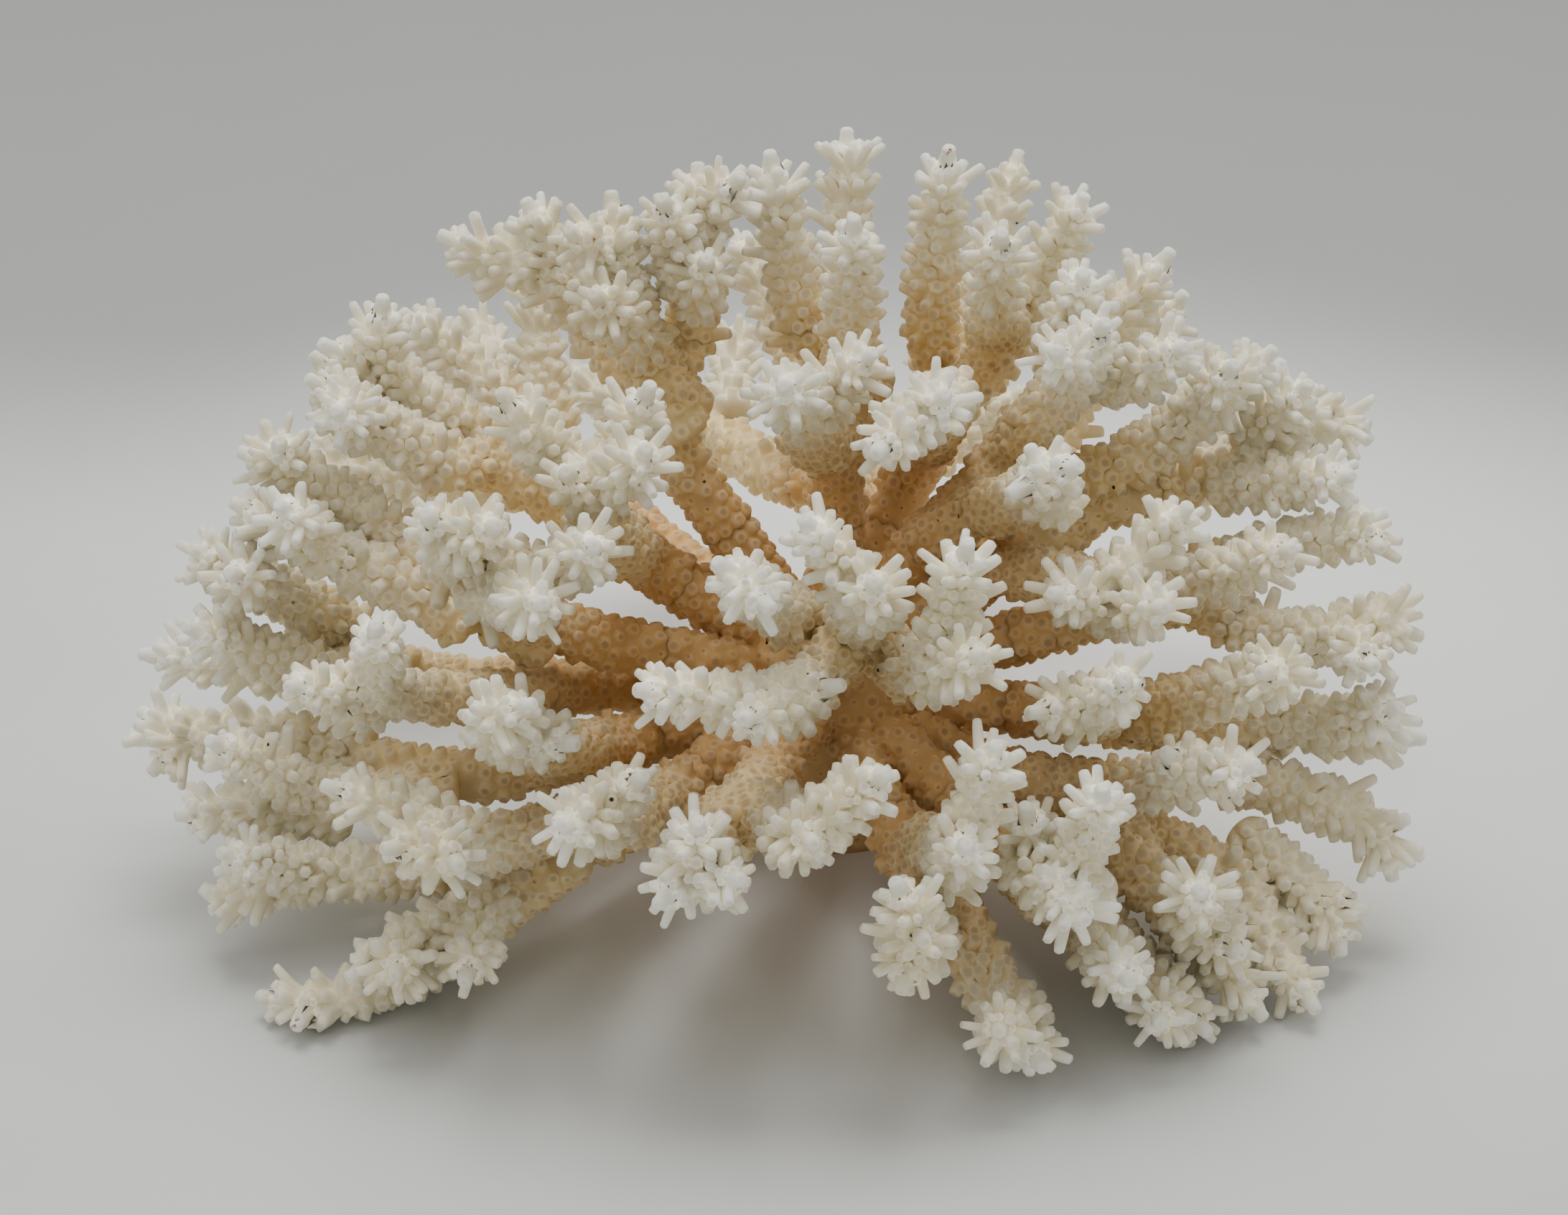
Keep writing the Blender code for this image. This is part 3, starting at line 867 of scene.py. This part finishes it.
def coral_piece(node, material):
    """The coral over one node's solid."""
    shape, places, values, names = colony()
    used, faces = shape.piece(names.index(node))
    mesh = bpy.data.meshes.new(node + "_coral")
    mesh.vertices.add(len(used))
    mesh.vertices.foreach_set("co", places[used].ravel())
    sizes = np.concatenate([np.full(len(f), f.shape[1]) for f in faces])
    mesh.loops.add(int(sizes.sum()))
    mesh.loops.foreach_set("vertex_index", np.concatenate([f.ravel() for f in faces]))
    mesh.polygons.add(len(sizes))
    mesh.polygons.foreach_set("loop_start", np.concatenate(([0], np.cumsum(sizes)[:-1])))
    mesh.update(calc_edges=True)
    mesh.shade_smooth()
    for i, name in enumerate(TRAITS):
        layer = mesh.attributes.new(name, "FLOAT", "POINT")
        layer.data.foreach_set("value", values[used, i].astype(np.float32))
    mesh.materials.append(material)
    piece = bpy.data.objects.new(node + "_coral", mesh)
    bpy.context.scene.collection.objects.link(piece)
    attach(piece, ROOT_BODY)
    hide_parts(node)


# ---------------------------------------------------------------- materials


# Settings of the nodes. A Mix node of colours has its share at input 0, its colours at inputs 6 and 7, and
# its result at output 2
MIX = {"data_type": "RGBA"}
EASE = {"interpolation_type": "SMOOTHSTEP"}
PLUS = {"operation": "ADD"}
MINUS = {"operation": "SUBTRACT"}
TIMES = {"operation": "MULTIPLY"}
APART = {"operation": "DISTANCE"}
PLAIN_LUMPS = {"Detail": 1.0, "Roughness": 0.55}
LUMPS = {"Detail": 2.0, "Roughness": 0.55}
ROUGH_LUMPS = {"Detail": 3.0, "Roughness": 0.55}

# The skeleton's growth. Its age is counted in millimetres back from a tip, and each colour has the age at
# which it starts and the age at which it is full
GROWTH = (("cream", -1.0, 13.0), ("tan", 18.0, 66.0), ("rust", 90.0, 134.0))
PATCH_MM = 26.0
PATCH_AGE = 36.0  # how much the age varies from patch to patch
# How much older the growth near the heart is in each kind of piece, and the distances over which that fades
STALK_AGEING = 60.0
LIMB_AGEING = 52.0
BRANCH_AGEING = 48.0
HEART_NEAR, HEART_FAR = 0.026, 0.088
# Painted shade: the foot of each tube is coloured as older, creamier growth than its end
FOOT_SHADE_AGE = 6.0  # the foot of a tube is this much older than its end
VARIETY = 0.10  # how much paler one tube may be than another
# Painted highlight: the end of each tube is mixed towards the white of a tip
LIP_HIGHLIGHT = 0.14  # how much paler a tube's end is than its foot

# What has settled on it, and the painted shade in the hollows of the tubes
# Painted shade and dirt: the hollows of the tubes are darkened towards the pit colour, more the older they
# are
DIRT_AND_SHADE_AGE, DIRT_AND_SHADE = (8.0, 70.0), (0.16, 0.46)  # the hollows hold more dirt the older they are
CRUMB_CELL_MM = 3.4  # no more than one crumb lies in a patch of this size
CRUMB_MIDDLE, CRUMB_EDGE = 0.075, 0.125  # reach of a crumb, as a share of its patch
CRUMB_RARE = (0.86, 0.88)  # the share of the patches that hold none
CRUMB_GROUP_MM, CRUMB_GROUP = 18.0, (0.46, 0.60)
VEIN_MM, VEIN = 1.2, (0.50, 0.60)
MARK_MIDDLE = 0.4  # of a mark's reach: where it begins to fade

# Its grain
GRAIN_MM = 0.35
PORE_MM = 0.9
RELIEF = 0.0003

# The table: shades of its paint as shares of the floor's colour, and where its painted shade and painted
# light fall
CLOUD_MM = 120.0
SMEAR_MM = 35.0
DULL, PALE, SHADED, LIT = 0.96, 1.04, 0.56, 1.40
BRIGHTEST = 0.93
SHADE_FROM, SHADE_TO = 0.10, 0.23
# The painted pool of light: its middle, and the distances over which it fades
LIT_PLACE = (0.02, 0.08, 0.0)
LIT_NEAR, LIT_FAR = 0.02, 0.22


def set_inputs(tree, node, inputs):
    """Link or set a node's inputs, given by name or number."""
    for name, value in inputs.items():
        if isinstance(value, bpy.types.NodeSocket):
            tree.links.new(value, node.inputs[name])
        else:
            node.inputs[name].default_value = value


def add_node(tree, kind, settings=None, inputs=None, out=0):
    """Add a node with its settings and inputs, and return one of its outputs."""
    node = tree.nodes.new("ShaderNode" + kind)
    for name, value in (settings or {}).items():
        setattr(node, name, value)
    set_inputs(tree, node, inputs or {})
    return node.outputs[out]


def scale_of(size_mm):
    """Scale of a pattern whose lumps are this many millimetres across."""
    return 1.0 / (size_mm * MM)


def opaque(colour, share=1.0, most=1.0):
    """A share of a colour as four values, none over the most."""
    return (*(min(most, c * share) for c in colour), 1.0)


def coral_skeleton(name, ageing, marks=()):
    """Dried aragonite skeleton grown by polyps, chalky and slightly see-through, older and dirtier inwards.

    Light that sinks into it comes out softened and warm, which gives the glowing cream of the thin parts; the
    bleached tips are nearly white, with the ends of the tubes painted paler as a painted highlight and their
    feet creamier as painted shade, and the hollows of the old tubes hold brown dirt and painted shade.
    """
    colours = bpy.context.scene.coral_colours
    material = bpy.data.materials.new(name)
    material.use_nodes = True
    tree = material.node_tree
    add = partial(add_node, tree)
    place = add("TexCoord", out="Object")
    age, hollow, height, chance = (add("Attribute", {"attribute_name": t}, out="Fac") for t in TRAITS)

    # Age: shifted about in broad patches, greater near the heart, and least at the end of a tube, so that the
    # feet of the tubes carry a painted shade
    patches = add("TexNoise", {}, {"Vector": place, "Scale": scale_of(PATCH_MM), **LUMPS})
    shift = add("Math", TIMES, {0: add("Math", MINUS, {0: patches, 1: 0.5}), 1: PATCH_AGE})
    inner = add("VectorMath", APART, {0: place, 1: HEART}, "Value")
    away = add("MapRange", EASE, {"Value": inner, "From Min": HEART_NEAR, "From Max": HEART_FAR})
    depth = add("Math", TIMES, {0: add("Math", MINUS, {0: 1.0, 1: away}), 1: ageing})
    years = add("Math", PLUS, {0: add("Math", PLUS, {0: age, 1: shift}), 1: depth})
    foot = add("Math", TIMES, {0: add("Math", MINUS, {0: 1.0, 1: height}), 1: FOOT_SHADE_AGE})
    years = add("Math", PLUS, {0: years, 1: foot})

    # Growth colour: white at the tips, cream, tan, then rust towards the heart
    layers = []
    for key, start, full in GROWTH:
        share = add("MapRange", EASE, {"Value": years, "From Min": start, "From Max": full})
        layers.append((share, getattr(colours, key)))

    # Each tube differs a little, and its end is painted paler than the ground between the tubes as a painted
    # highlight
    layers.append((add("Math", TIMES, {0: chance, 1: VARIETY}), colours.tip))
    squared = add("Math", TIMES, {0: height, 1: height})
    layers.append((add("Math", TIMES, {0: squared, 1: LIP_HIGHLIGHT}), colours.tip))

    # Painted shade and dirt in the hollows, deeper the older the tube
    ageing_dirt_and_shade = {"From Min": DIRT_AND_SHADE_AGE[0], "From Max": DIRT_AND_SHADE_AGE[1], "To Min": DIRT_AND_SHADE[0], "To Max": DIRT_AND_SHADE[1]}
    dirt_and_shade = add("MapRange", EASE, {"Value": years, **ageing_dirt_and_shade})
    layers.append((add("Math", TIMES, {0: hollow, 1: dirt_and_shade}), colours.pit))

    # Crumbs of dried weed and grit about half a millimetre across, gathered in places
    cell = {"Vector": place, "Scale": scale_of(CRUMB_CELL_MM), "Randomness": 1.0}
    distance = add("TexVoronoi", {"feature": "F1"}, cell, "Distance")
    fading = {"From Min": CRUMB_MIDDLE, "From Max": CRUMB_EDGE, "To Min": 1.0, "To Max": 0.0}
    crumb = add("MapRange", EASE, {"Value": distance, **fading})
    draw = add("SeparateColor", {}, {"Color": distance.node.outputs["Color"]}, "Red")
    rare = add("MapRange", EASE, {"Value": draw, "From Min": CRUMB_RARE[0], "From Max": CRUMB_RARE[1]})
    groups = add("TexNoise", {}, {"Vector": place, "Scale": scale_of(CRUMB_GROUP_MM), **PLAIN_LUMPS})
    near = add("MapRange", EASE, {"Value": groups, "From Min": CRUMB_GROUP[0], "From Max": CRUMB_GROUP[1]})
    some = add("Math", TIMES, {0: crumb, 1: rare})
    layers.append((add("Math", TIMES, {0: some, 1: near}), colours.speck))

    # Red-brown marks where something has stained a tip, broken up into veins
    wash = add("TexNoise", {}, {"Vector": place, "Scale": scale_of(VEIN_MM), **LUMPS})
    veins = add("MapRange", EASE, {"Value": wash, "From Min": VEIN[0], "From Max": VEIN[1]})
    for x, y, z, reach in marks:
        away = add("VectorMath", APART, {0: place, 1: (x * MM, y * MM, z * MM)}, "Value")
        fading = {"From Min": MARK_MIDDLE * reach * MM, "From Max": reach * MM, "To Min": 1.0, "To Max": 0.0}
        mark = add("MapRange", EASE, {"Value": away, **fading})
        layers.append((add("Math", TIMES, {0: mark, 1: veins}), colours.mark))

    colour = opaque(colours.tip)
    for share, paint in layers:
        colour = add("Mix", MIX, {0: share, 6: colour, 7: opaque(paint)}, 2)

    # Grain of the skeleton: drawn coarse, as the true spines of 0.05 mm would be lost at this distance
    spines = {"Vector": place, "Scale": scale_of(GRAIN_MM), "Detail": 3.0, "Roughness": 0.6}
    grain = add("TexNoise", {}, spines)
    pores = add("TexNoise", {}, {"Vector": place, "Scale": scale_of(PORE_MM), **LUMPS})
    fine = add("Math", TIMES, {0: grain, 1: 0.6})
    relief = add("Math", PLUS, {0: fine, 1: add("Math", TIMES, {0: pores, 1: 0.6})})
    bump = add("Bump", {}, {"Strength": 0.35, "Distance": RELIEF, "Height": relief})
    dull = {"From Min": 0.3, "From Max": 0.7, "To Min": 0.62, "To Max": 0.82}
    shader = tree.nodes["Principled BSDF"]
    shader.subsurface_method = "BURLEY"
    finish = {
        "Base Color": colour,
        "Normal": bump,
        "Roughness": add("MapRange", EASE, {"Value": grain, **dull}),
        "Subsurface Weight": 1.0,
        "Subsurface Radius": (1.0, 0.92, 0.78),
        "Subsurface Scale": 0.0020,
        "Specular IOR Level": 0.32,
    }
    set_inputs(tree, shader, finish)
    return material


def painted_table():
    """White lacquered board, wiped and faintly scuffed: a pale ground with a soft, dull sheen, painted shade
    far behind the coral and a painted pool of light under its back branches.
    """
    floor = bpy.context.scene.coral_studio.floor
    material = bpy.data.materials.new("painted_table")
    material.use_nodes = True
    tree = material.node_tree
    add = partial(add_node, tree)
    place = add("TexCoord", out="Object")
    clouds = add("TexNoise", {}, {"Vector": place, "Scale": scale_of(CLOUD_MM), **ROUGH_LUMPS})
    layers = [(add("MapRange", EASE, {"Value": clouds, "From Min": 0.3, "From Max": 0.7}), PALE)]

    # Painted shade: the board darkens as it runs back behind the coral
    back = add("SeparateXYZ", {}, {"Vector": place}, "Y")
    shade = add("MapRange", EASE, {"Value": back, "From Min": SHADE_FROM, "From Max": SHADE_TO})
    layers.append((shade, SHADED))

    # Painted light: a pool of light painted on the board, brightest under the back branches, where the light
    # comes down between them
    away = add("VectorMath", APART, {0: place, 1: LIT_PLACE}, "Value")
    fading = {"From Min": LIT_NEAR, "From Max": LIT_FAR, "To Min": 1.0, "To Max": 0.0}
    layers.append((add("MapRange", EASE, {"Value": away, **fading}), LIT))

    colour = opaque(floor, DULL)
    for share, part in layers:
        colour = add("Mix", MIX, {0: share, 6: colour, 7: opaque(floor, part, BRIGHTEST)}, 2)
    smears = add("TexNoise", {}, {"Vector": place, "Scale": scale_of(SMEAR_MM), **ROUGH_LUMPS})
    dull = {"From Min": 0.3, "From Max": 0.7, "To Min": 0.42, "To Max": 0.55}
    rough = add("MapRange", EASE, {"Value": smears, **dull})
    set_inputs(tree, tree.nodes["Principled BSDF"], {"Base Color": colour, "Roughness": rough})
    return material


# ---------------------------------------------------------------- studio


MIDDLE = (0, 0, 0.05)  # what the lights aim at
# Each light: its place, its two sides in metres, its power in watts and its colour
LIGHTS = {
    "overhead": ((0.0, 0.22, 1.1), (0.8, 0.7), 11.0, (1.0, 0.99, 0.97)),
    "front": ((-0.5, -0.6, 1.1), (0.9, 0.9), 2.5, (1.0, 1.0, 1.0)),
    "side": ((1.0, 0.0, 0.8), (0.7, 0.7), 1.0, (1.0, 1.0, 1.0)),
}
ROOM_COLOUR, ROOM_LIGHT = "E0E0DE", 0.62


def area_light(name, place, size, power, colour):
    """A large soft light that aims at the middle of the coral."""
    data = bpy.data.lights.new(name, "AREA")
    data.shape = "RECTANGLE"
    data.size, data.size_y = size
    data.energy = power
    data.color = colour
    light = bpy.data.objects.new(name, data)
    light.location = place
    light.rotation_euler = (Vector(MIDDLE) - Vector(place)).to_track_quat("-Z", "Y").to_euler()
    bpy.context.scene.collection.objects.link(light)
    return light


def camera():
    """The camera, at the viewing angle of the best face."""
    settings = bpy.context.scene.coral_studio
    sine, cosine = math.sin(settings.elevation), math.cos(settings.elevation)
    out = Vector((0, -cosine, sine))
    up = Vector((0, sine, cosine))
    aim = HEART + Vector((AIM_RIGHT, 0, 0)) + up * AIM_UP
    data = bpy.data.cameras.new("camera")
    data.lens = settings.lens
    data.clip_start = 0.01
    data.clip_end = 50.0
    made = bpy.data.objects.new("camera", data)
    made.location = HEART + out * settings.distance
    made.rotation_euler = (aim - made.location).to_track_quat("-Z", "Y").to_euler()
    bpy.context.scene.collection.objects.link(made)
    bpy.context.scene.camera = made


# ---------------------------------------------------------------- operators


class CORAL_OT_stalk(bpy.types.Operator):
    """Cover the stalk and crown."""

    bl_idname = "coral.stalk"
    bl_label = "Cover the stalk"

    def execute(self, context):
        coral_piece(STALK_NODE, coral_skeleton("aragonite_heart", STALK_AGEING))
        return {"FINISHED"}


class CORAL_OT_limbs(bpy.types.Operator):
    """Cover the limbs."""

    bl_idname = "coral.limbs"
    bl_label = "Cover the limbs"

    def execute(self, context):
        material = coral_skeleton("aragonite_limb", LIMB_AGEING, LIMB_MARKS_MM)
        for node in sorted(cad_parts):
            if node.startswith("limb_"):
                coral_piece(node, material)
        return {"FINISHED"}


class CORAL_OT_branches(bpy.types.Operator):
    """Cover the side branches."""

    bl_idname = "coral.branches"
    bl_label = "Cover the side branches"

    def execute(self, context):
        material = coral_skeleton("aragonite_branch", BRANCH_AGEING, BRANCH_MARKS_MM)
        for node in sorted(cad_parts):
            if node.startswith("branch_"):
                coral_piece(node, material)
        return {"FINISHED"}


class CORAL_OT_studio(bpy.types.Operator):
    """Lay the table, hang the lights and set up the camera."""

    bl_idname = "coral.studio"
    bl_label = "Set up the studio"

    def execute(self, context):
        size = context.scene.coral_studio.floor_size / 2
        mesh = bpy.data.meshes.new("table")
        corners = [(-size, -size, 0), (size, -size, 0), (size, size, 0), (-size, size, 0)]
        mesh.from_pydata(corners, [], [(0, 1, 2, 3)])
        mesh.materials.append(painted_table())
        table = bpy.data.objects.new("table", mesh)
        context.scene.collection.objects.link(table)
        world = bpy.data.worlds.new("studio")
        world.use_nodes = True
        room = {"Color": opaque(linear(ROOM_COLOUR)), "Strength": ROOM_LIGHT}
        set_inputs(world.node_tree, world.node_tree.nodes["Background"], room)
        context.scene.world = world
        for name, settings in LIGHTS.items():
            area_light(name, *settings)
        camera()
        return {"FINISHED"}


class CORAL_PT_panel(bpy.types.Panel):
    """The coral's settings and its steps."""

    bl_label = "Coral"
    bl_space_type = "VIEW_3D"
    bl_region_type = "UI"
    bl_category = "Coral"

    def draw(self, context):
        for group in (context.scene.coral_form, context.scene.coral_colours, context.scene.coral_studio):
            box = self.layout.box()
            for name in group.__annotations__:
                box.prop(group, name)
        for operator in OPERATORS:
            self.layout.operator(operator.bl_idname)


GROUPS = (CoralForm, CoralColours, StudioSettings)
OPERATORS = (CORAL_OT_stalk, CORAL_OT_limbs, CORAL_OT_branches, CORAL_OT_studio)


def register():
    """Register the add-on."""
    for made in (*GROUPS, *OPERATORS, CORAL_PT_panel):
        bpy.utils.register_class(made)
    bpy.types.Scene.coral_form = PointerProperty(type=CoralForm)
    bpy.types.Scene.coral_colours = PointerProperty(type=CoralColours)
    bpy.types.Scene.coral_studio = PointerProperty(type=StudioSettings)


def unregister():
    """Unregister the add-on."""
    del bpy.types.Scene.coral_studio
    del bpy.types.Scene.coral_colours
    del bpy.types.Scene.coral_form
    for made in reversed((*GROUPS, *OPERATORS, CORAL_PT_panel)):
        bpy.utils.unregister_class(made)


def main():
    """Build the coral and its studio."""
    register()
    bpy.ops.coral.stalk()
    bpy.ops.coral.limbs()
    bpy.ops.coral.branches()
    bpy.ops.coral.studio()


if __name__ == "__main__":
    main()
